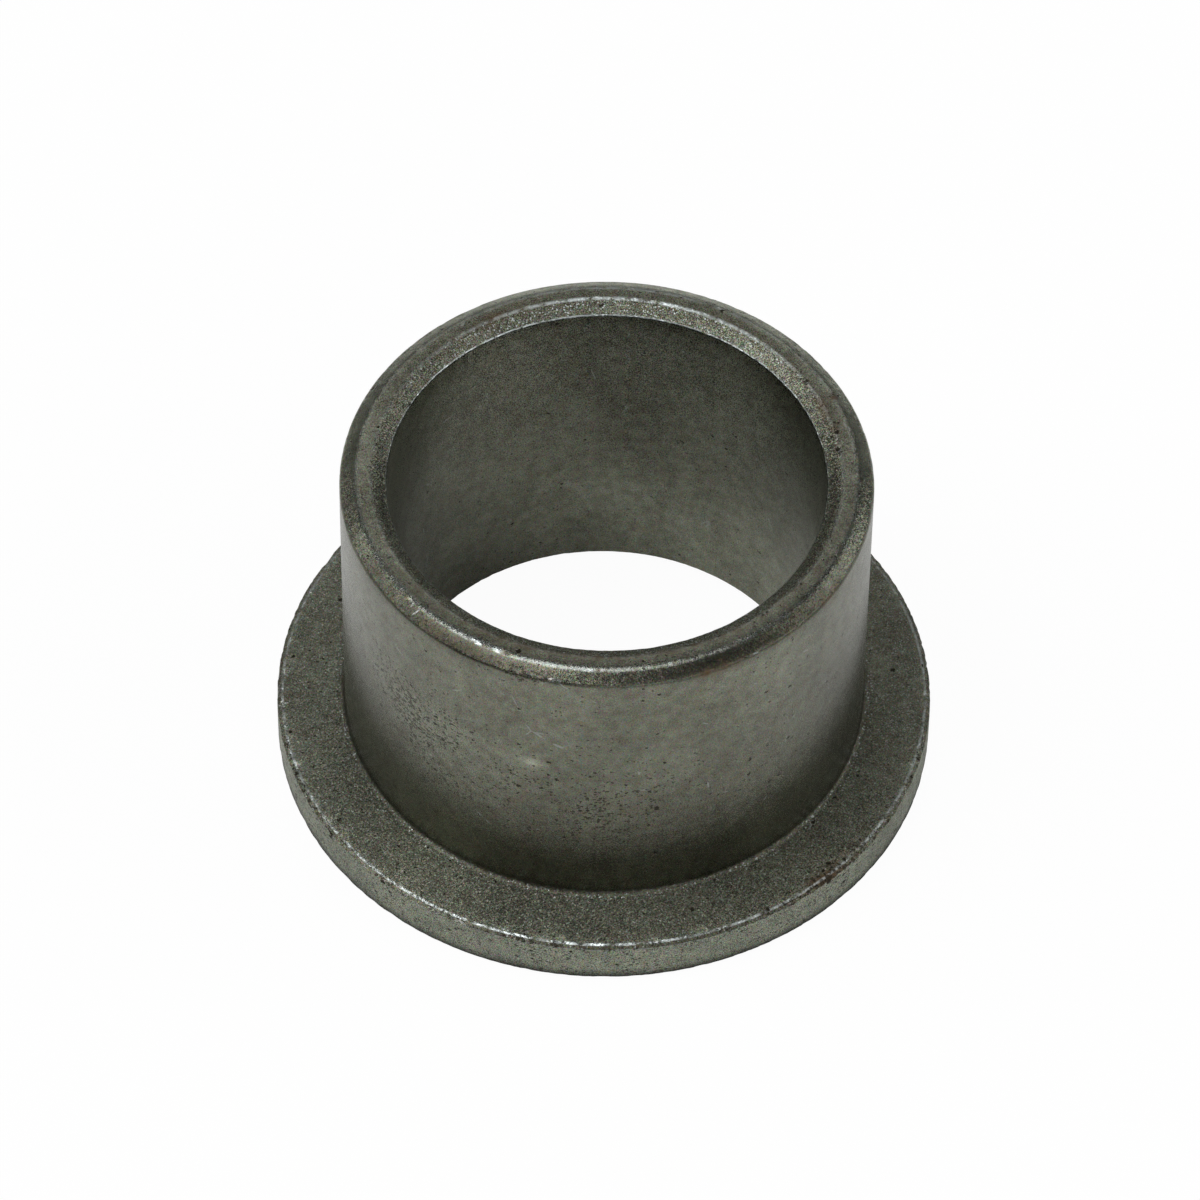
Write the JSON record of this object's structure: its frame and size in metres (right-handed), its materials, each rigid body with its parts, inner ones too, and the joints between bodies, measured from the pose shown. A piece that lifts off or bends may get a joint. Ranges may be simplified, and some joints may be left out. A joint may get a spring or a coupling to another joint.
{
  "type": "flanged sleeve bushing",
  "caption": "One-piece sintered metal sleeve bushing with a thrust flange at one end, chamfered at both ends of its plain bore.",
  "frame": {"origin": "centre of the bore in the plane of the flange's thrust face", "axes": "+Z along the bore's axis, from the flange towards the sleeve's free end"},
  "size_m": [0.044, 0.044, 0.0254],
  "materials": {
    "sintered_metal": "satin, fine-grained and porous, dark with oil"
  },
  "bodies": {
    "root": {"flanged_bushing": "sintered_metal"}
  },
  "joints": []
}
